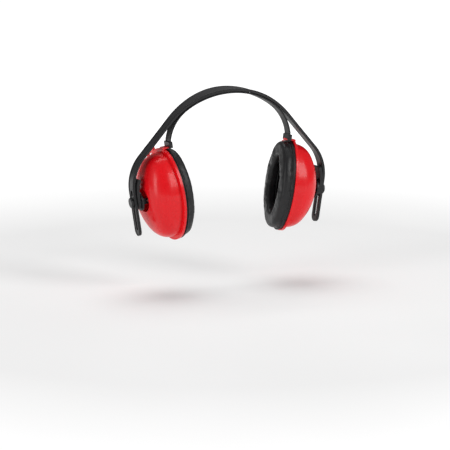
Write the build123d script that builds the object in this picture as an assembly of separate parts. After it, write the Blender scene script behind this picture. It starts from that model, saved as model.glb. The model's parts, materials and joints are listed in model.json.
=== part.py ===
from build123d import *
import os
from math import cos, radians, sin

# Hearing protection earmuffs, worn over the head. Millimetres and degrees.
# +Z is up and the wearer faces -Y, so the wearer's left ear is on +X.
# The origin is where the crown strap rests on the top of the head.
# Each cup has a local frame: its origin is the middle of the cup's rim, +x points outward
# from the head, +z runs up along the band's arm, and it leans outward with the arm.

# Headband: a moulded spring band with two slotted arms
BAND_TOP = 5.6            # outer face of the band at the crown, above the origin
BAND_RADIUS = 98.0        # outer face, over the crown
BAND_THICKNESS = 3.4
CROWN_WIDTH = 31.0
ARM_WIDTH = 14.0
TAPER_END_X = 84.0        # the crown narrows to the width of the arm by here
FLANK_ANGLE = 49.0        # slope of the straight flanks, below horizontal
FLANK_LENGTH = 52.0
KNEE_RADIUS = 50.0
LEAN = 8.5                # the arms and cups lean outward at the top
ARM_LENGTH = 51.0         # from the knee to the rounded end
SLOT_WIDTH = 5.2
SLOT_TOP = 14.0           # in the cup's frame
SLOT_BOTTOM = -32.0
KNEE_ABOVE_PIVOT = 12.0

# Crown strap: a soft moulded strap that rests on the head under the band
STRAP_THICKNESS = 1.8
STRAP_CROWN_WIDTH = 28.0
STRAP_WIDTH = 14.0
STRAP_LEAVES_BAND = 35.0  # angle from the crown where the strap drops away from the band
STRAP_RADIUS = 50.0       # where it follows the side of the head
STRAP_SPLIT = 60.0        # angle where the tail begins
STRAP_TAIL_ANGLE = 77.0

# Cup: an oval domed shell with a rim. Every oval of the cup is the rim's, inset.
RIM_HEIGHT = 107.0
RIM_WIDTH = 78.0
RIM_END_RADIUS = 31.0
RIM_THICKNESS = 3.0
RIM_LIP = 4.0             # the rim stands this far proud of the dome
MOUTH_INSET = 9.5
CUP_DEPTH = 34.5          # from the rim's inner face to the dome's crown
TOE_IN = 8.0              # the rim is turned in at the front, about the tilt pin
SHELL_WALL = 2.2
DOME_DRAFT = 5.0
DOME_CROWN_RADIUS = 80.0
DOME_SHOULDER = 22.0

# Absorber foam, which fills the cup from here out
FOAM_FACE = 12.0
FOAM_GAP = 0.3

# Cushion
CUSHION_INSET = 0.8
CUSHION_HOLE_INSET = 19.5
CUSHION_BACK = -2.0
CUSHION_FACE = -15.5
SKIN = 1.1
CUSHION_OUTER_ROUND = 6.0
CUSHION_INNER_ROUND = 5.0

# Pivot between the arm and the cup, as distances out along the cup's frame
ARM_FACE = 42.5           # inner face of the arm
BRACKET_WIDTH = 18.0
BRACKET_THICKNESS = 3.2
BRACKET_CLEARANCE = 0.2
BRACKET_BEND_START = 8.0
BRACKET_BEND_RADIUS = 42.0
BRACKET_BEND = 26.0
STEM_DIAMETER = 5.0
BUTTON_DIAMETER = 12.0
BUTTON_THICKNESS = 2.8
YOKE_DIAMETER = 22.0
YOKE_FACE = 38.2
YOKE_THICKNESS = 2.1
EAR_GAP = 9.0
EAR_THICKNESS = 2.4
KNUCKLE_RADIUS = 3.2
PIN_DIAMETER = 3.0
PIN_X = 30.0
RECESS_DIAMETER = 27.0
RECESS_FLOOR = 25.5
RUNNING = 0.1             # diametral clearance of everything that turns or slides

# Slotted strap lug on the rear of the rim
LUG_CENTRE = (25.0, 46.0)  # rearward and up, in the cup's frame
LUG_TURN = -20.0
LUG_LENGTH = 20.0
LUG_HEIGHT = 20.0
LUG_SLOT_LENGTH = 13.0
LUG_SLOT_WIDTH = 2.3
LUG_SLOT_SPACING = 4.3

# Strap hook, which saddles a tab on top of the rim
TAB_WIDTH = 10.0
TAB_Z = (53.2, 54.8)
HOOK_X = (-9.0, -4.6)
HOOK_WIDTH = 16.6
HOOK_POCKET_FLOOR = 56.2
HOOK_TOP = 60.0
HOOK_POCKET_X = sum(HOOK_X) / 2

knee_turn = 90 + LEAN - FLANK_ANGLE


def band_edges(depth):
    """One half of the band's side outline, this far inside its outer face, crown to arm end."""
    crown = JernArc((0, BAND_TOP - depth), (1, 0), BAND_RADIUS - depth, -FLANK_ANGLE)
    flank = PolarLine(crown @ 1, FLANK_LENGTH, -FLANK_ANGLE)
    knee = JernArc(flank @ 1, flank % 1, KNEE_RADIUS - depth, -knee_turn)
    arm = PolarLine(knee @ 1, ARM_LENGTH, -90 - LEAN)
    return [crown, flank, knee, arm]


def on_arm(point, along, inward):
    """A point in the side view, down the arm from another and in from its outer face."""
    lean = radians(LEAN)
    x = point.X - along * sin(lean) - inward * cos(lean)
    z = point.Y - along * cos(lean) + inward * sin(lean)
    return x, z


arm_top = band_edges(0)[2] @ 1
cup_x, cup_z = on_arm(arm_top, KNEE_ABOVE_PIVOT, ARM_FACE + BAND_THICKNESS)
CUP_FRAME = Location((cup_x, 0, cup_z), (0, LEAN, 0))
TOE = Pos(PIN_X, 0, 0) * Rot(0, 0, -TOE_IN) * Pos(-PIN_X, 0, 0)


def oval(inset):
    """The rim's oval of four arcs, inset by this much all round."""
    half_height = RIM_HEIGHT / 2 - inset
    half_width = RIM_WIDTH / 2 - inset
    end = RIM_END_RADIUS - inset
    side = (half_width ** 2 + (half_height - end) ** 2 - end ** 2) / (2 * (half_width - end))
    share = end / (side - end)
    y, z = (side - half_width) * share, (half_height - end) * (1 + share)
    points = [(y, -z), (half_width, 0), (y, z), (0, half_height), (-y, z), (-half_width, 0), (-y, -z),
              (0, -half_height), (y, -z)]
    return make_face([ThreePointArc(*points[i:i + 3]) for i in (0, 2, 4, 6)])


def oval_slab(inset, start, end):
    """An oval plate across the cup's axis."""
    return extrude(Plane.YZ.offset(start) * oval(inset), end - start)


def disc(diameter, start, end, hole=0.0):
    """A round plate or a pin along the cup's axis."""
    plate = extrude(Plane.YZ.offset(start) * Circle(diameter / 2), end - start)
    if hole:
        plate -= extrude(Plane.YZ.offset(start) * Circle(hole / 2), end - start)
    return plate


def block(x_range, y_range, z_range):
    """A box between pairs of limits."""
    size = [high - low for low, high in (x_range, y_range, z_range)]
    middle = [(high + low) / 2 for low, high in (x_range, y_range, z_range)]
    return Pos(*middle) * Box(*size)


def cross_pin(diameter, half_length, x):
    """A round bar from front to rear at height zero of the cup's frame."""
    return Pos(x, 0, 0) * Rot(90, 0, 0) * Cylinder(diameter / 2, 2 * half_length)


def knuckle(y_range, x_from, x_pin):
    """A rounded ear that carries the tilt pin."""
    middle = (y_range[0] + y_range[1]) / 2
    half = (y_range[1] - y_range[0]) / 2
    root = block(sorted((x_from, x_pin)), y_range, (-KNUCKLE_RADIUS, KNUCKLE_RADIUS))
    return root + Pos(0, middle, 0) * cross_pin(2 * KNUCKLE_RADIUS, half, x_pin)


def side_plate(edges_out, edges_in, width):
    """A curved plate from its outer and inner edges in the side view."""
    ends = [Line(edges_out[0] @ 0, edges_in[0] @ 0), Line(edges_out[-1] @ 1, edges_in[-1] @ 1)]
    face = make_face(edges_out + edges_in + ends)
    return extrude(Plane.XZ * face, width / 2, both=True)


def tapered(crown_width, end_width, start_x, end_x):
    """A tall block whose plan narrows from the crown to the sides."""
    near, far = crown_width / 2, end_width / 2
    edge = Spline((start_x, near), ((start_x + end_x) / 2, (near + far) / 2), (end_x, far),
                  tangents=[(1, 0), (1, 0)])
    corners = [(end_x, far), (end_x + 80, far), (end_x + 80, 0), (0, 0), (0, near), (start_x, near)]
    outline = make_face([edge] + [Line(a, b) for a, b in zip(corners, corners[1:]) if a != b])
    outline += mirror(outline, about=Plane.XZ)
    return extrude(outline, 200, both=True)


def both_halves(half):
    return half + mirror(half, about=Plane.YZ)


def make_headband():
    half = side_plate(band_edges(0), band_edges(BAND_THICKNESS), CROWN_WIDTH)
    half &= tapered(CROWN_WIDTH, ARM_WIDTH, 0, TAPER_END_X)
    slot_length = SLOT_TOP - SLOT_BOTTOM
    slot = Pos(0, (SLOT_TOP + SLOT_BOTTOM) / 2) * SlotOverall(slot_length, SLOT_WIDTH, rotation=90)
    end = KNEE_ABOVE_PIVOT - ARM_LENGTH + ARM_WIDTH / 2
    tip = Pos(0, end - 10) * Rectangle(ARM_WIDTH + 2, 20) - Pos(0, end) * Circle(ARM_WIDTH / 2)
    cutter = extrude(Plane.YZ.offset(ARM_FACE - 5) * (slot + tip), BAND_THICKNESS + 10)
    return both_halves(half - CUP_FRAME * cutter)


def strap_centre():
    """The strap's centre line in the side view, crown to the start of the tail's straight run."""
    middle = STRAP_THICKNESS / 2
    over = JernArc((0, middle), (1, 0), BAND_RADIUS - BAND_TOP + middle, -STRAP_LEAVES_BAND)
    side = JernArc(over @ 1, over % 1, STRAP_RADIUS, STRAP_LEAVES_BAND - STRAP_SPLIT)
    tail = JernArc(side @ 1, side % 1, STRAP_RADIUS, STRAP_SPLIT - STRAP_TAIL_ANGLE)
    return over, side, tail


def strap_solid(lines, width):
    face = trace(lines, STRAP_THICKNESS)
    return extrude(Plane.XZ * face, width / 2, both=True)


def make_crown_strap():
    over, side, tail = strap_centre()
    half = strap_solid([over, side], STRAP_CROWN_WIDTH)
    half &= tapered(STRAP_CROWN_WIDTH, STRAP_WIDTH, 40, (side @ 1).X)
    return both_halves(half)


def make_strap_tail():
    over, side, bend = strap_centre()
    foot = (CUP_FRAME * Pos(HOOK_POCKET_X, 0, HOOK_POCKET_FLOOR + 0.5)).position
    entry = (CUP_FRAME * Pos(HOOK_POCKET_X, 0, HOOK_TOP + 1)).position
    run = Line(bend @ 1, (entry.X, entry.Z))
    end = Line(run @ 1, (foot.X, foot.Z))
    return strap_solid([bend, run, end], STRAP_WIDTH)


def dome(inset):
    """The solid inside the dome's outer surface, moved in by this much."""
    body = extrude(Plane.YZ.offset(RIM_THICKNESS) * oval(RIM_LIP + inset), CUP_DEPTH, taper=DOME_DRAFT)
    body &= Pos(CUP_DEPTH - DOME_CROWN_RADIUS, 0, 0) * Sphere(DOME_CROWN_RADIUS - inset)
    return fillet(body.faces().sort_by(Axis.X)[-1].edges(), DOME_SHOULDER - inset)


def make_cup_shell():
    """The dome and rim are turned in; the recess and knuckle for the pivot stay square to the arm."""
    outside = TOE * dome(0)
    rim = oval_slab(0, 0, RIM_THICKNESS) - oval_slab(MOUTH_INSET, 0, RIM_THICKNESS)
    recess_wall = disc(RECESS_DIAMETER + 2 * SHELL_WALL, RECESS_FLOOR - SHELL_WALL, CUP_DEPTH + 3)
    shell = outside - TOE * dome(SHELL_WALL) + (recess_wall & outside) + TOE * (rim + make_lug())
    shell -= disc(RECESS_DIAMETER, RECESS_FLOOR, CUP_DEPTH + 3)
    half_lug = EAR_GAP / 2 - 0.2
    shell += knuckle((-half_lug, half_lug), RECESS_FLOOR, PIN_X)
    shell += block((HOOK_X[0], 2.0), (-TAB_WIDTH / 2, TAB_WIDTH / 2), TAB_Z)
    shell += block((0.6, 2.0), (-TAB_WIDTH / 2, TAB_WIDTH / 2), (TAB_Z[0] - 3, TAB_Z[0]))
    return shell - cross_pin(PIN_DIAMETER + RUNNING, half_lug, PIN_X)


def make_lug():
    """The slotted tab, in the plane of the rim."""
    rise = LUG_SLOT_SPACING / 2
    tab = Pos(0, -LUG_HEIGHT / 2 + rise + 3) * RectangleRounded(LUG_LENGTH, LUG_HEIGHT, 3)
    for height in (-rise, rise):
        tab -= Pos(0, height) * SlotOverall(LUG_SLOT_LENGTH, LUG_SLOT_WIDTH)
    tab = Pos(*LUG_CENTRE) * Rot(0, 0, LUG_TURN) * tab
    return extrude(Plane.YZ * (tab - oval(1)), RIM_THICKNESS - 0.4)


def make_absorber_foam():
    foam = dome(SHELL_WALL + FOAM_GAP) - block((-1, FOAM_FACE), (-60, 60), (-60, 60))
    recess_wall = RECESS_DIAMETER + 2 * (SHELL_WALL + FOAM_GAP)
    return TOE * foam - disc(recess_wall, RECESS_FLOOR - SHELL_WALL - FOAM_GAP, CUP_DEPTH + 3)


def make_cushion_plate():
    plate = oval_slab(CUSHION_INSET + 0.6, CUSHION_BACK + 0.1, -0.1)
    plate += oval_slab(MOUTH_INSET + 0.4, -0.1, RIM_THICKNESS)
    return TOE * (plate - oval_slab(MOUTH_INSET + 2.4, CUSHION_BACK, RIM_THICKNESS))


def cushion_ring(skin):
    """The cushion's ring, inside a skin of this thickness, rounded where it meets the head."""
    face = CUSHION_FACE + skin
    ring = oval_slab(CUSHION_INSET + skin, face, CUSHION_BACK)
    outer = ring.faces().sort_by(Axis.X)[0].edges()
    ring = fillet(outer, CUSHION_OUTER_ROUND - skin)
    ring -= oval_slab(CUSHION_HOLE_INSET - skin, face, CUSHION_BACK)
    flat = ring.faces().filter_by(Plane.YZ).sort_by(Axis.X)[0]
    return TOE * fillet(flat.inner_wires()[0].edges(), CUSHION_INNER_ROUND - skin)


def make_cushion_foam():
    return cushion_ring(SKIN)


def make_cushion_skin():
    return cushion_ring(0) - cushion_ring(SKIN)


def bracket_edges(x):
    """One edge of the bracket in the side view: straight on the arm, then bent in to clear the knee."""
    low = Line((x, -BRACKET_WIDTH / 2), (x, BRACKET_BEND_START))
    centre_x = ARM_FACE - BRACKET_CLEARANCE - BRACKET_BEND_RADIUS
    return [low, JernArc(low @ 1, low % 1, x - centre_x, BRACKET_BEND)]


def make_slide_bracket():
    face_x = ARM_FACE - BRACKET_CLEARANCE
    plate = side_plate(bracket_edges(face_x), bracket_edges(face_x - BRACKET_THICKNESS), BRACKET_WIDTH)
    outline = Circle(BRACKET_WIDTH / 2)
    outline += Pos(0, 16) * RectangleRounded(BRACKET_WIDTH, 34, 5)
    plate &= extrude(Plane.YZ * outline, ARM_FACE)
    rib = block((face_x - 0.5, ARM_FACE + 2.4), (-SLOT_WIDTH / 2 + 0.1, SLOT_WIDTH / 2 - 0.1), (4, 8))
    return plate + rib - disc(STEM_DIAMETER + RUNNING, 0, 60)


def make_pivot_button():
    outer_face = ARM_FACE + BAND_THICKNESS + BRACKET_CLEARANCE
    head = disc(BUTTON_DIAMETER, outer_face, outer_face + BUTTON_THICKNESS)
    head = fillet(head.faces().sort_by(Axis.X)[-1].edges(), 1.2)
    return head + disc(STEM_DIAMETER, YOKE_FACE - YOKE_THICKNESS - 2, outer_face)


def make_spring_washer():
    return disc(12, YOKE_FACE + 0.2, YOKE_FACE + 0.7, STEM_DIAMETER + 0.6)


def make_swivel_yoke():
    inner_face = YOKE_FACE - YOKE_THICKNESS
    yoke = disc(YOKE_DIAMETER, inner_face, YOKE_FACE)
    for side in (-1, 1):
        near, far = side * EAR_GAP / 2, side * (EAR_GAP / 2 + EAR_THICKNESS)
        yoke += knuckle(sorted((near, far)), inner_face, PIN_X)
    yoke -= disc(STEM_DIAMETER + RUNNING, 0, 60)
    return yoke - cross_pin(PIN_DIAMETER + 0.02, YOKE_DIAMETER, PIN_X)


def make_retaining_ring():
    inner_face = YOKE_FACE - YOKE_THICKNESS
    return disc(8.4, inner_face - 1.0, inner_face - 0.2, STEM_DIAMETER)


def make_tilt_pin():
    return cross_pin(PIN_DIAMETER, EAR_GAP / 2 + EAR_THICKNESS, PIN_X)


def make_strap_hook():
    half = HOOK_WIDTH / 2
    body = block(HOOK_X, (-half, half), (TAB_Z[0], HOOK_TOP))
    body = fillet(body.edges().filter_by(Axis.Z), 1.0)
    notch = block((-12, 0), (-TAB_WIDTH / 2 - 0.1, TAB_WIDTH / 2 + 0.1), (TAB_Z[0] - 1, TAB_Z[1] + 0.1))
    pocket_x = (HOOK_POCKET_X - 1.3, HOOK_POCKET_X + 1.3)
    pocket = block(pocket_x, (-half + 1, half - 1), (HOOK_POCKET_FLOOR, HOOK_TOP + 1))
    return body - notch - pocket


CUP_PARTS = {
    "cup_shell": make_cup_shell,
    "absorber_foam": make_absorber_foam,
    "cushion_plate": make_cushion_plate,
    "cushion_foam": make_cushion_foam,
    "cushion_skin": make_cushion_skin,
    "slide_bracket": make_slide_bracket,
    "pivot_button": make_pivot_button,
    "spring_washer": make_spring_washer,
    "swivel_yoke": make_swivel_yoke,
    "retaining_ring": make_retaining_ring,
    "tilt_pin": make_tilt_pin,
    "strap_hook": make_strap_hook,
}

parts = {"headband": make_headband(), "crown_strap": make_crown_strap()}
sides = {name: CUP_FRAME * make() for name, make in CUP_PARTS.items()}
sides["strap_tail"] = make_strap_tail()
for name, shape in sides.items():
    parts[name + "_left"] = shape
    parts[name + "_right"] = mirror(shape, about=Plane.YZ)

os.makedirs("parts", exist_ok=True)
for name, shape in parts.items():
    export_step(shape, f"parts/{name}.step")
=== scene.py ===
import json
from math import atan2, copysign, cos, degrees, pi, radians, sin
from random import Random

import bmesh
import bpy
from mathutils import Matrix, Vector, noise


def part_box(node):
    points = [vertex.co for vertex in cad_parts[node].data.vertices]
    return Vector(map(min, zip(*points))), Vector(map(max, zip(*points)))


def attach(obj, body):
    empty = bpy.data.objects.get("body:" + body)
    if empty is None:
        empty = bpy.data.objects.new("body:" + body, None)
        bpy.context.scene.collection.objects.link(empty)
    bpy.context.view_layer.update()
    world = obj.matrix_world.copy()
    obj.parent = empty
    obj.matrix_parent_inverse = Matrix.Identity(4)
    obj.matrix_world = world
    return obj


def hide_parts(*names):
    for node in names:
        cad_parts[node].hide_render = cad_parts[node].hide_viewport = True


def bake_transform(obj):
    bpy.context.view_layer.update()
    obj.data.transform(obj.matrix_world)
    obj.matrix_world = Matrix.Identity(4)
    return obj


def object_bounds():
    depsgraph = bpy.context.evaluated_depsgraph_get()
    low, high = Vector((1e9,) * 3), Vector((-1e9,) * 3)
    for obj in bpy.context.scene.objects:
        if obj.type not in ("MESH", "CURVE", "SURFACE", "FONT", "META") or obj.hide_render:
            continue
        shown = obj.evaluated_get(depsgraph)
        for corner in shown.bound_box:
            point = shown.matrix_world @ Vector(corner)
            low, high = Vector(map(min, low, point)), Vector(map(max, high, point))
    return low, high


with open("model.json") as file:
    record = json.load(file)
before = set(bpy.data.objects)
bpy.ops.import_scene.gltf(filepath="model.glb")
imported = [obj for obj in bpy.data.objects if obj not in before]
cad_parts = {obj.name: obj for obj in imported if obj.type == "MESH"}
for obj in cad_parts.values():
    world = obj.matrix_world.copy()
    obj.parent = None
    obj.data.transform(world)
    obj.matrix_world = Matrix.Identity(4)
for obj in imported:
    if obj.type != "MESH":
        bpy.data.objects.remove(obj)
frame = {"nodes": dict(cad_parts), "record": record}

cad_low, cad_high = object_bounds()
record = frame["record"]
SIDES = ("left", "right")


def joint(name):
    return next(j for j in record["behaviour"]["joints"] if j["name"] == name)


# Camera and view, metres and degrees
CAMERA_AZIMUTH = -23.7
CAMERA_ELEVATION = 10.9
CAMERA_DISTANCE = 2.04
CAMERA_LENS = 141.7
CAMERA_AIM = Vector((-0.0047, 0, -0.1536))
FLOOR_DROP = 0.06
ROOM_LIGHT = 0.2
BACKGROUND_LIGHT = 1.05

# Headband, metres and degrees: the same line as the part's, with raised rims on its outer face
BAND_TOP = 0.0056
BAND_RUNS = ((0.098 * radians(49), 49), (0.052, 0), (0.050 * radians(49.5), 49.5), (0.051, 0))
BAND_THICKNESS = 0.0034
BAND_CROWN_WIDTH = 0.031
BAND_ARM_WIDTH = 0.014
BAND_TAPER = 0.084
BAND_SLOT = (0.177, 0.223)       # distances along the band from the crown
BAND_SLOT_WIDTH = 0.0052
BAND_STEP = 0.003
RIM_WIDTH = 0.0012
RIM_RISE = 0.0006
BAND_ROUND = 0.0005

# Rounds on the edges of the hard CAD parts, metres
CAD_ROUNDS = {"cup_shell": 0.0005, "slide_bracket": 0.0005, "pivot_button": 0.0003,
              "swivel_yoke": 0.0003, "strap_hook": 0.0004, "cushion_plate": 0.0003}

# Crown strap
STRAP_THICKNESS = 0.0018
STRAP_CROWN_WIDTH = 0.028
STRAP_WIDTH = 0.014
STRAP_BEAD = 0.0002
STRAP_OVER = (0.0942, 35)        # outer face: radius over the crown and the angle where it leaves the band
STRAP_SIDE = (0.0509, 42)        # radius and turn round the side of the head
STRAP_SLACK = 0.008              # the strap can pull away from the band this far before it leaves it
STRAP_ENTRY = 0.0034             # from the middle of the hook up to its mouth
STRAP_SHARES = (0.6, 0.84)       # of the free side run, to the carriage and to the swivel
STRAP_STEPS = {"upper": 28, "middle": 14, "lower": 14}

# Cushion and foam, in the rim's frame: x out of the head, and insets from the rim's oval
OVAL_HEIGHT = 0.107
OVAL_WIDTH = 0.078
OVAL_END = 0.031
CUSHION_BACK = -0.0024
CUSHION_FACE = -0.0155
CUSHION_SWELL = 0.0006           # room for the air pressure to fill
CUSHION_INSETS = (0.0016, 0.0014, 0.0188, 0.0184)   # back and face outside, face and back inside
CUSHION_ROUNDS = (0.0005, 0.0056, 0.0044, 0.0005)
CUSHION_AROUND = 176
CUSHION_CAP = 0.0016             # the furthest that the cloth may move a point
CUSHION_PINNED = -0.0032         # points nearer to the plate than this stay put
FLAW = 0.00008                   # tiny unevenness from which the folds start
WELTS = ((-0.0029, 0.0010, 0.0007), (-0.0030, 0.0188, 0.0006))   # x, inset and radius
FOAM_RINGS = ((0.0205, 0.030), (0.0205, 0.0100), (0.0200, 0.0088), (0.0140, 0.0084), (0.0128, 0.0088),
              (0.0122, 0.0098), (0.0119, 0.0116), (0.0116, 0.0145), (0.0114, 0.018), (0.0113, 0.022),
              (0.0112, 0.026), (0.0112, 0.0295))     # x and inset, back to face
FOAM_LUMPS = (0.0004, 160)       # height and frequency
PIN_OUT = 0.030                  # the tilt pin stands this far out of the rim's inner face


# ---------------------------------------------------------------- materials

class Shader:
    """A principled material and short calls for the nodes that feed it."""

    def __init__(self, name, color, roughness, **values):
        self.material = bpy.data.materials.new(name)
        self.material.use_nodes = True
        self.tree = self.material.node_tree
        self.surface = self.tree.nodes["Principled BSDF"]
        self.surface.inputs["Base Color"].default_value = (*color, 1)
        self.surface.inputs["Roughness"].default_value = roughness
        for socket, value in values.items():
            self.surface.inputs[socket.replace("_", " ")].default_value = value
        self.place = self.tree.nodes.new("ShaderNodeTexCoord").outputs["Object"]
        self.normal = None

    def link(self, output, socket):
        self.tree.links.new(output, socket)

    def noise(self, scale, detail=3.0, stretch=None):
        node = self.tree.nodes.new("ShaderNodeTexNoise")
        node.inputs["Scale"].default_value = scale
        node.inputs["Detail"].default_value = detail
        self.link(self.stretched(stretch), node.inputs["Vector"])
        return node.outputs["Fac"]

    def cells(self, scale):
        node = self.tree.nodes.new("ShaderNodeTexVoronoi")
        node.inputs["Scale"].default_value = scale
        self.link(self.place, node.inputs["Vector"])
        return node.outputs["Distance"]

    def stretched(self, stretch):
        if stretch is None:
            return self.place
        node = self.tree.nodes.new("ShaderNodeMapping")
        node.inputs["Scale"].default_value = stretch
        self.link(self.place, node.inputs["Vector"])
        return node.outputs["Vector"]

    def remap(self, output, low, high, start=0.3, end=0.7):
        node = self.tree.nodes.new("ShaderNodeMapRange")
        for socket, value in zip(("From Min", "From Max", "To Min", "To Max"), (start, end, low, high)):
            node.inputs[socket].default_value = value
        self.link(output, node.inputs["Value"])
        return node.outputs["Result"]

    def tint(self, output, first, second):
        """The base colour runs from the first colour to the second as the pattern rises."""
        node = self.tree.nodes.new("ShaderNodeValToRGB")
        node.color_ramp.elements[0].position = 0.35
        node.color_ramp.elements[0].color = (*first, 1)
        node.color_ramp.elements[1].position = 0.65
        node.color_ramp.elements[1].color = (*second, 1)
        self.link(output, node.inputs["Fac"])
        self.link(node.outputs["Color"], self.surface.inputs["Base Color"])

    def rough(self, output, low, high):
        self.link(self.remap(output, low, high), self.surface.inputs["Roughness"])

    def bump(self, output, height, strength=1.0):
        """Adds relief of this height in metres; calls stack."""
        node = self.tree.nodes.new("ShaderNodeBump")
        node.inputs["Strength"].default_value = strength
        node.inputs["Distance"].default_value = height
        self.link(output, node.inputs["Height"])
        if self.normal:
            self.link(self.normal, node.inputs["Normal"])
        self.normal = node.outputs["Normal"]
        self.link(self.normal, self.surface.inputs["Normal"])


def red_gloss():
    shader = Shader("red_gloss_plastic", (0.80, 0.008, 0.014), 0.3, Specular_IOR_Level=0.3,
                    Coat_Weight=0.12, Coat_Roughness=0.08)
    shader.tint(shader.noise(14, 2), (0.80, 0.005, 0.010), (0.87, 0.008, 0.014))
    shader.rough(shader.noise(90, 4), 0.24, 0.34)
    shader.bump(shader.noise(35, 2), 0.00004, 0.35)
    shader.bump(shader.noise(900, 2), 0.000006, 0.5)
    return shader.material


def black_moulded(name, color, low, high, grain):
    shader = Shader(name, color, low, Specular_IOR_Level=0.38)
    lighter = tuple(1.6 * c for c in color)
    shader.tint(shader.noise(40, 3), color, lighter)
    shader.rough(shader.noise(120, 4), low, high)
    shader.bump(shader.noise(1400, 2), grain, 0.7)
    shader.bump(shader.noise(70, 2), 0.00003, 0.6)
    return shader.material


def vinyl():
    shader = Shader("cushion_vinyl", (0.010, 0.010, 0.011), 0.4, Specular_IOR_Level=0.4)
    shader.tint(shader.noise(50, 3), (0.008, 0.008, 0.009), (0.015, 0.015, 0.016))
    shader.rough(shader.noise(150, 4), 0.36, 0.5)
    shader.bump(shader.cells(1100), 0.00006, 0.7)
    shader.bump(shader.noise(160, 3), 0.00012, 0.5)
    return shader.material


def foam():
    shader = Shader("open_cell_foam", (0.05, 0.05, 0.055), 0.95)
    # Painted shade: the colour is darkest in the middle of each foam cell, in the pits that the same cell
    # pattern's bump sinks below, and lighter on the cell walls
    shader.tint(shader.cells(1500), (0.012, 0.012, 0.014), (0.07, 0.07, 0.075))
    shader.rough(shader.noise(300, 2), 0.9, 1.0)
    shader.bump(shader.cells(1500), 0.0004, 1.0)
    shader.bump(shader.noise(200, 2), 0.0003, 0.6)
    return shader.material


def steel():
    shader = Shader("brushed_steel", (0.55, 0.56, 0.58), 0.3, Metallic=1.0)
    streaks = shader.noise(600, 3, (1, 0.05, 1))
    shader.tint(streaks, (0.50, 0.51, 0.53), (0.62, 0.63, 0.65))
    shader.rough(streaks, 0.25, 0.42)
    shader.bump(streaks, 0.00001, 0.6)
    return shader.material


MATERIALS = {
    "cup_red": red_gloss(),
    "band_black": black_moulded("band_nylon", (0.007, 0.007, 0.008), 0.30, 0.42, 0.00001),
    "strap_black": black_moulded("strap_rubber", (0.008, 0.008, 0.009), 0.42, 0.55, 0.00002),
    "plate_black": black_moulded("plate_plastic", (0.007, 0.007, 0.008), 0.35, 0.5, 0.00001),
    "cushion_vinyl": vinyl(),
    "foam_grey": foam(),
    "steel": steel(),
}


def paint(obj, material):
    obj.data.materials.clear()
    obj.data.materials.append(material)


for part in record["subparts"]:
    paint(frame["nodes"][part["node"]], MATERIALS[part["material_slot"]])


# ------------------------------------------------------------ mesh building

def new_piece(name, slot, points, faces, sharp=None):
    """A smooth-shaded mesh object with the slot's material; sharp is an angle in degrees."""
    mesh = bpy.data.meshes.new(name)
    mesh.from_pydata(points, [], faces)
    work = bmesh.new()
    work.from_mesh(mesh)
    bmesh.ops.recalc_face_normals(work, faces=work.faces)
    for face in work.faces:
        face.smooth = True
    if sharp:
        for edge in work.edges:
            edge.smooth = edge.calc_face_angle(0) < radians(sharp)
    work.to_mesh(mesh)
    work.free()
    mesh.materials.append(MATERIALS[slot])
    obj = bpy.data.objects.new(name, mesh)
    bpy.context.scene.collection.objects.link(obj)
    return obj


def mirrored(obj, name):
    """A copy for the other side of the head."""
    twin = obj.copy()
    twin.data = obj.data.copy()
    twin.name = name
    twin.data.transform(Matrix.Diagonal((-1, 1, 1, 1)))
    twin.data.flip_normals()
    bpy.context.scene.collection.objects.link(twin)
    return twin


def loft(rings, loop=False):
    """Faces between closed rings of equal length; loop joins the last ring to the first."""
    count = len(rings[0])
    points = [point for ring in rings for point in ring]
    faces = []
    for row in range(len(rings) if loop else len(rings) - 1):
        near, far = row * count, (row + 1) % len(rings) * count
        faces += [(near + i, near + (i + 1) % count, far + (i + 1) % count, far + i) for i in range(count)]
    if not loop:
        faces += [tuple(range(count)), tuple(len(points) - count + i for i in range(count))]
    return points, faces


class SideLine:
    """A line in the side view from runs of (length, turn in degrees); headings are below horizontal."""

    def __init__(self, start, heading, runs):
        self.starts = [(0, start, radians(heading))]
        self.runs = [(length, radians(turn)) for length, turn in runs]
        for length, turn in self.runs:
            done, point, heading = self.starts[-1]
            self.starts.append((done + length, *self.step(point, heading, length, length, turn)))
        self.length = self.starts[-1][0]

    @staticmethod
    def step(point, heading, distance, length, turn):
        x, z = point
        if abs(turn) < 1e-9:
            return (x + distance * cos(heading), z - distance * sin(heading)), heading
        radius, after = length / turn, heading + turn * distance / length
        return (x + radius * (sin(after) - sin(heading)), z + radius * (cos(after) - cos(heading))), after

    def at(self, distance):
        for (done, point, heading), (length, turn) in zip(self.starts, self.runs):
            if distance <= done + length + 1e-9:
                break
        return self.step(point, heading, distance - done, length, turn)

    def wrap(self, along, across, depth):
        """A point along the line, across the band and in from its outer face; both halves."""
        (x, z), heading = self.at(min(abs(along), self.length + 0.02))
        x, z = x - depth * sin(heading), z - depth * cos(heading)
        return Vector((x if along >= 0 else -x, across, z))


def smoothstep(t):
    t = min(max(t, 0), 1)
    return t * t * (3 - 2 * t)


# ------------------------------------------------------------ headband

BAND_LINE = SideLine((0, BAND_TOP), 0, BAND_RUNS)


def band_half_width(along):
    (x, z), heading = BAND_LINE.at(along)
    return (BAND_CROWN_WIDTH + (BAND_ARM_WIDTH - BAND_CROWN_WIDTH) * smoothstep(x / BAND_TAPER)) / 2


def band_outline(inset):
    """The outline of the band laid flat, this far inside its edge."""
    tip = BAND_LINE.length - BAND_ARM_WIDTH / 2
    radius = BAND_ARM_WIDTH / 2 - inset
    steps = [tip * i / 80 for i in range(80)]
    quarter = [(u, band_half_width(u) - inset) for u in steps]
    quarter += [(tip + radius * sin(a), radius * cos(a)) for a in (pi / 2 * i / 10 for i in range(11))]
    half = quarter + [(u, -v) for u, v in reversed(quarter[:-1])]
    return half + [(-u, v) for u, v in reversed(half[1:-1])]


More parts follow.
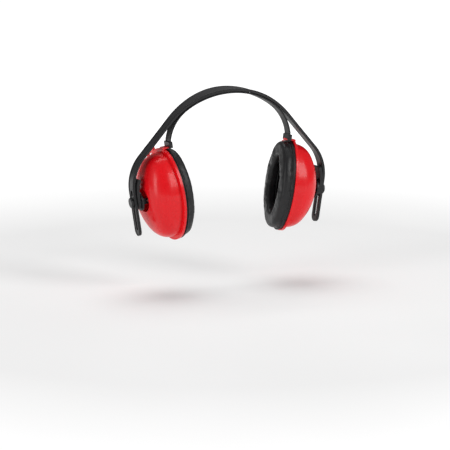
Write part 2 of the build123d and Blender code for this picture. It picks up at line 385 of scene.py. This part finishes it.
def slot_outline(side):
    """One arm's slot laid flat."""
    radius = BAND_SLOT_WIDTH / 2
    ends = [BAND_SLOT[0] + radius, BAND_SLOT[1] - radius]
    turns = [pi * i / 16 for i in range(17)]
    far = [(ends[1] + radius * sin(a), radius * cos(a)) for a in turns]
    near = [(ends[0] - radius * sin(a), -radius * cos(a)) for a in turns]
    return [(side * u, v) for u, v in far + near]


def flat_plate(loops, low, high):
    """A flat plate with rounded edges between two depths, as a mesh in (along, across, depth)."""
    curve = bpy.data.curves.new("flat", "CURVE")
    curve.dimensions = "2D"
    curve.fill_mode = "BOTH"
    curve.extrude = (high - low) / 2 - BAND_ROUND
    curve.bevel_depth = BAND_ROUND
    curve.bevel_resolution = 2
    curve.offset = -BAND_ROUND
    for loop in loops:
        spline = curve.splines.new("POLY")
        spline.points.add(len(loop) - 1)
        for point, (u, v) in zip(spline.points, loop):
            point.co = (u, v, 0, 1)
        spline.use_cyclic_u = True
    obj = bpy.data.objects.new("flat", curve)
    bpy.context.scene.collection.objects.link(obj)
    evaluated = obj.evaluated_get(bpy.context.evaluated_depsgraph_get())
    mesh = bpy.data.meshes.new_from_object(evaluated)
    mesh.transform(Matrix.Translation((0, 0, (low + high) / 2)))
    bpy.data.objects.remove(obj)
    bpy.data.curves.remove(curve)
    return mesh


def wrapped_band(loops, low, high):
    """A flat plate cut across at every step and wrapped along the band's line."""
    work = bmesh.new()
    work.from_mesh(flat_plate(loops, low, high))
    bmesh.ops.remove_doubles(work, verts=work.verts, dist=1e-6)
    cuts = int(BAND_LINE.length / BAND_STEP)
    for cut in range(-cuts, cuts + 1):
        geometry = work.verts[:] + work.edges[:] + work.faces[:]
        place = (cut * BAND_STEP, 0, 0)
        bmesh.ops.bisect_plane(work, geom=geometry, dist=1e-7, plane_co=place, plane_no=(1, 0, 0))
    points = [BAND_LINE.wrap(*vertex.co) for vertex in work.verts]
    work.verts.index_update()
    faces = [[vertex.index for vertex in face.verts] for face in work.faces]
    work.free()
    return points, faces


def make_headband():
    slots = [slot_outline(side) for side in (-1, 1)]
    points, faces = wrapped_band([band_outline(0)] + slots, RIM_RISE, BAND_THICKNESS)
    rim_loops = [band_outline(0), band_outline(RIM_WIDTH)]
    rim_points, rim_faces = wrapped_band(rim_loops, 0, 2 * RIM_RISE + BAND_ROUND)
    faces += [[len(points) + i for i in face] for face in rim_faces]
    points += rim_points
    band = new_piece("headband_moulding", "band_black", points, faces, sharp=50)
    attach(band, "band")
    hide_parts("headband")


# ------------------------------------------------------------ crown strap

def make_strap_line():
    """Crown to hook: over the head, round its side, and straight into the hook's pocket."""
    low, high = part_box("strap_hook_left")
    arcs = [(radius * radians(turn), turn) for radius, turn in (STRAP_OVER, STRAP_SIDE)]
    line = SideLine((0, STRAP_THICKNESS), 0, arcs)
    (x, z), heading = line.at(line.length)
    down = Vector(joint("cup_height_left")["axis"])
    outward = Vector((-down.z, 0, down.x))
    entry = Vector(((low[0] + high[0]) / 2, 0, (low[2] + high[2]) / 2))
    entry += STRAP_THICKNESS / 2 * outward - STRAP_ENTRY * down
    lean = atan2(-down.z, down.x)
    aim = atan2(z - entry.z, entry.x - x)
    gap = Vector((entry.x - x, z - entry.z)).length
    runs = arcs + [(gap / 2, degrees(aim - heading)), (gap / 2, degrees(lean - aim)), (STRAP_ENTRY, 0)]
    return SideLine((0, STRAP_THICKNESS), 0, runs), arcs


def strap_section(width):
    """Half-round edges, and a low raised bead along each edge of the outer face."""
    half, mid = width / 2, STRAP_THICKNESS / 2
    turns = [pi * i / 6 for i in range(7)]
    right = [(half - mid + mid * sin(a), mid - mid * cos(a)) for a in turns]
    left = [(-v, depth) for v, depth in reversed(right)]
    bead = [(half * share, -STRAP_BEAD) for share in (0.86, 0.80)]
    inner = [(half * share, STRAP_BEAD) for share in (0.72, 0.3, -0.3, -0.72)]
    far_bead = [(-v, depth) for v, depth in reversed(bead)]
    under = [(half * share, STRAP_THICKNESS) for share in (-0.4, 0.4)]
    return under + list(reversed(right)) + bead + inner + far_bead + list(reversed(left))


def ribbon(name, line, start, end, width_at, steps):
    rings = []
    for i in range(steps + 1):
        along = start + (end - start) * i / steps
        section = strap_section(width_at(along))
        rings.append([line.wrap(along, v, depth) for v, depth in section])
    points, faces = loft(rings)
    return new_piece(name, "strap_black", points, faces, sharp=60)


def make_strap():
    line, arcs = make_strap_line()
    leaves = arcs[0][0] - STRAP_SLACK
    taper_end = arcs[0][0] + arcs[1][0]

    def width_at(along):
        return STRAP_CROWN_WIDTH + (STRAP_WIDTH - STRAP_CROWN_WIDTH) * smoothstep(abs(along) / taper_end)

    crown = ribbon("crown_strap_moulding", line, -leaves, leaves, width_at, 60)
    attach(crown, "band")
    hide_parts("crown_strap")
    free = line.length - leaves
    cuts = [leaves] + [leaves + share * free for share in STRAP_SHARES] + [line.length]
    for side, sign in zip(SIDES, (1, -1)):
        for i, (part, steps) in enumerate(STRAP_STEPS.items()):
            start, end = sign * cuts[i], sign * cuts[i + 1]
            piece = ribbon(f"strap_{part}_{side}", line, start, end, width_at, steps)
            ends = [line.wrap(along, 0, STRAP_THICKNESS / 2) for along in (start, end)]
            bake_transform(piece)
            if part == "upper":
                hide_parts("strap_tail_" + side)


# ------------------------------------------------------------ cushions and foam

def rim_frame():
    """The left rim's turn and origin: x out of the head, y to the rear, z up along the arm."""
    mount = next(m for m in record["mounts"] if m["name"] == "strap_lug_left")
    out = Vector(mount["axis"]).normalized()
    up = -Vector(joint("cup_height_left")["axis"]).normalized()
    rear = up.cross(out).normalized()
    origin = Vector(joint("cup_tilt_left")["pos_m"]) - PIN_OUT * out
    return Matrix((out, rear, up)).transposed().to_4x4(), origin


def oval_point(angle, inset):
    """The point of the rim's oval, inset, whose outward normal is at this angle from the rear."""
    half_width, half_height, end = OVAL_WIDTH / 2, OVAL_HEIGHT / 2, OVAL_END
    side = (half_width ** 2 + (half_height - end) ** 2 - end ** 2) / (2 * (half_width - end))
    split = atan2(half_height - end, side - half_width)
    y, z = cos(angle), sin(angle)
    if abs(z) > sin(split):
        return y * (end - inset), z * (end - inset) + copysign(half_height - end, z)
    return y * (side - inset) - copysign(side - half_width, y), z * (side - inset)


def oval_angles(count):
    """Angles at even distances round the oval."""
    fine = [2 * pi * i / 2000 for i in range(2001)]
    dots = [Vector(oval_point(a, 0.01)) for a in fine]
    travel = [0]
    for a, b in zip(dots, dots[1:]):
        travel.append(travel[-1] + (b - a).length)
    angles, j = [], 0
    for i in range(count):
        while travel[j + 1] < travel[-1] * i / count:
            j += 1
        angles.append(fine[j])
    return angles


def oval_rings(profile, count):
    """One ring of points for each (x, inset) of the profile, in the rim's frame."""
    angles = oval_angles(count)
    turn, origin = rim_frame()
    return [[turn @ Vector((x, *oval_point(angle, inset))) + origin for angle in angles]
            for x, inset in profile]


def rounded(corners, radius, per_corner, per_side):
    """A closed outline with rounded corners through these corners."""
    outline = []
    count = len(corners)
    for i in range(count):
        here, before, after = (Vector(corners[j % count]) for j in (i, i - 1, i + 1))
        size = radius[i]
        start = here + (before - here).normalized() * size
        end = here + (after - here).normalized() * size
        for step in range(per_corner + 1):
            t = step / per_corner
            outline.append((1 - t) ** 2 * start + 2 * t * (1 - t) * here + t ** 2 * end)
        following = Vector(corners[(i + 1) % count])
        finish = following + (here - following).normalized() * radius[(i + 1) % count]
        outline += [end.lerp(finish, step / per_side) for step in range(1, per_side)]
    return [tuple(point) for point in outline]


def inflate(obj, pinned, limit):
    """Cloth with air pressure from the mesh as built; no point moves further than the limit."""
    start = [vertex.co.copy() for vertex in obj.data.vertices]
    group = obj.vertex_groups.new(name="pinned")
    group.add(pinned, 1.0, "REPLACE")
    cloth = obj.modifiers.new("cloth", "CLOTH")
    settings = cloth.settings
    settings.vertex_group_mass = "pinned"
    settings.use_pressure = True
    settings.uniform_pressure_force = 4
    settings.shrink_min = -0.04
    settings.effector_weights.gravity = 0
    settings.quality = 6
    scene = bpy.context.scene
    for number in range(1, 21):
        scene.frame_set(number)
    evaluated = obj.evaluated_get(bpy.context.evaluated_depsgraph_get())
    moved = [vertex.co.copy() for vertex in evaluated.data.vertices]
    obj.modifiers.remove(cloth)
    obj.vertex_groups.clear()
    for vertex, before, after in zip(obj.data.vertices, start, moved):
        travel = after - before
        vertex.co = before + travel * min(1, limit / max(travel.length, 1e-9))
    scene.frame_set(1)


def subdivide(obj):
    modifier = obj.modifiers.new("subdivision", "SUBSURF")
    modifier.levels = modifier.render_levels = 1


def make_cushion():
    face = CUSHION_FACE + CUSHION_SWELL
    places = (CUSHION_BACK, face + 0.0004, face, CUSHION_BACK)
    profile = rounded(list(zip(places, CUSHION_INSETS)), CUSHION_ROUNDS, 6, 7)
    points, faces = loft(oval_rings(profile, CUSHION_AROUND), loop=True)
    chance = Random(7)
    cushion = new_piece("cushion_pad_left", "cushion_vinyl", points, faces)
    for vertex in cushion.data.vertices:
        vertex.co += Vector([chance.uniform(-1, 1) * FLAW for axis in range(3)])
    rows = [row for row, (x, inset) in enumerate(profile) if x > CUSHION_PINNED]
    pinned = [row * CUSHION_AROUND + i for row in rows for i in range(CUSHION_AROUND)]
    inflate(cushion, pinned, CUSHION_CAP)
    subdivide(cushion)
    return cushion


def make_welts():
    """The two sewn beads where the cushion's skin meets its plate."""
    points, faces = [], []
    for x, inset, radius in WELTS:
        circle = [(x + radius * cos(a), inset + radius * sin(a)) for a in (pi / 5 * i for i in range(10))]
        bead_points, bead_faces = loft(oval_rings(circle, 120), loop=True)
        faces += [[len(points) + i for i in face] for face in bead_faces]
        points += bead_points
    return new_piece("cushion_welts_left", "cushion_vinyl", points, faces)


def make_foam():
    """The absorber's face, rounded at its edge and slightly lumpy, with its side and a closed back."""
    points, faces = loft(oval_rings(FOAM_RINGS, 120))
    pad = new_piece("absorber_pad_left", "foam_grey", points, faces)
    height, frequency = FOAM_LUMPS
    for vertex in pad.data.vertices:
        vertex.co += height * noise.noise_vector(vertex.co * frequency)
    subdivide(pad)
    return pad


def make_soft_parts():
    cushion, welts, pad = make_cushion(), make_welts(), make_foam()
    for left in (cushion, welts, pad):
        right = mirrored(left, left.name.replace("left", "right"))
        for side, piece in zip(SIDES, (left, right)):
            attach(piece, "cup_" + side)
            if left is cushion:
                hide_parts("cushion_skin_" + side, "cushion_foam_" + side)
            elif left is pad:
                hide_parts("absorber_foam_" + side)


def soften_edges():
    """Small rounds on the hard parts' sharp edges."""
    for name, width in CAD_ROUNDS.items():
        for side in SIDES:
            modifier = frame["nodes"][f"{name}_{side}"].modifiers.new("edge_round", "BEVEL")
            modifier.width = width
            modifier.segments = 2
            modifier.limit_method = "ANGLE"
            modifier.angle_limit = radians(40)
            modifier.harden_normals = True


make_headband()
make_strap()
make_soft_parts()
soften_edges()


# ------------------------------------------------------------ stage and camera

def add_light(name, location, size, power):
    light = bpy.data.lights.new(name, "AREA")
    light.shape = "RECTANGLE"
    light.size, light.size_y = size
    light.energy = power
    obj = bpy.data.objects.new(name, light)
    obj.location = location
    obj.rotation_euler = (CAMERA_AIM - Vector(location)).to_track_quat("-Z", "Y").to_euler()
    bpy.context.scene.collection.objects.link(obj)


def make_stage():
    bpy.ops.mesh.primitive_plane_add(size=8, location=(0, 0, cad_low[2] - FLOOR_DROP))
    floor = bpy.context.object
    floor.name = "floor"
    shader = Shader("floor_paper", (0.85, 0.85, 0.85), 0.9)
    shader.tint(shader.noise(3, 2), (0.84, 0.84, 0.84), (0.87, 0.87, 0.87))
    # Painted glow: the floor gives off white light of its own, weak within 0.42 m of its middle and rising
    # to full strength from 1.3 m out; this glow also lights the object from below
    shader.surface.inputs["Emission Color"].default_value = (1, 1, 1, 1)
    distance = shader.tree.nodes.new("ShaderNodeVectorMath")
    distance.operation = "LENGTH"
    shader.link(shader.place, distance.inputs[0])
    glow = shader.remap(distance.outputs["Value"], 0.15, 0.9, 0.42, 1.3)
    shader.link(glow, shader.surface.inputs["Emission Strength"])
    floor.data.materials.append(shader.material)


def make_world():
    """A white background behind a dimmer room."""
    world = bpy.data.worlds.new("studio")
    world.use_nodes = True
    tree = world.node_tree
    background = tree.nodes["Background"]
    background.inputs["Color"].default_value = (1, 1, 1, 1)
    strength = tree.nodes.new("ShaderNodeMapRange")
    strength.inputs["To Min"].default_value = ROOM_LIGHT
    strength.inputs["To Max"].default_value = BACKGROUND_LIGHT
    rays = tree.nodes.new("ShaderNodeLightPath")
    tree.links.new(rays.outputs["Is Camera Ray"], strength.inputs["Value"])
    tree.links.new(strength.outputs["Result"], background.inputs["Strength"])
    bpy.context.scene.world = world


def make_camera():
    azimuth, elevation = radians(CAMERA_AZIMUTH), radians(CAMERA_ELEVATION)
    away = Vector((sin(azimuth) * cos(elevation), -cos(azimuth) * cos(elevation), sin(elevation)))
    data = bpy.data.cameras.new("camera")
    data.lens = CAMERA_LENS
    camera = bpy.data.objects.new("camera", data)
    camera.location = CAMERA_AIM + CAMERA_DISTANCE * away
    camera.rotation_euler = (-away).to_track_quat("-Z", "Y").to_euler()
    bpy.context.scene.collection.objects.link(camera)
    bpy.context.scene.camera = camera


bpy.context.scene.view_settings.view_transform = "Standard"
make_stage()
make_world()
make_camera()
add_light("key_softbox", (0.9, -1.5, 0.9), (0.7, 1.0), 15)
add_light("side_softbox", (-1.7, -0.5, 0.35), (0.5, 1.2), 8)
add_light("top_softbox", (0, 0.4, 1.4), (1.4, 0.9), 14)
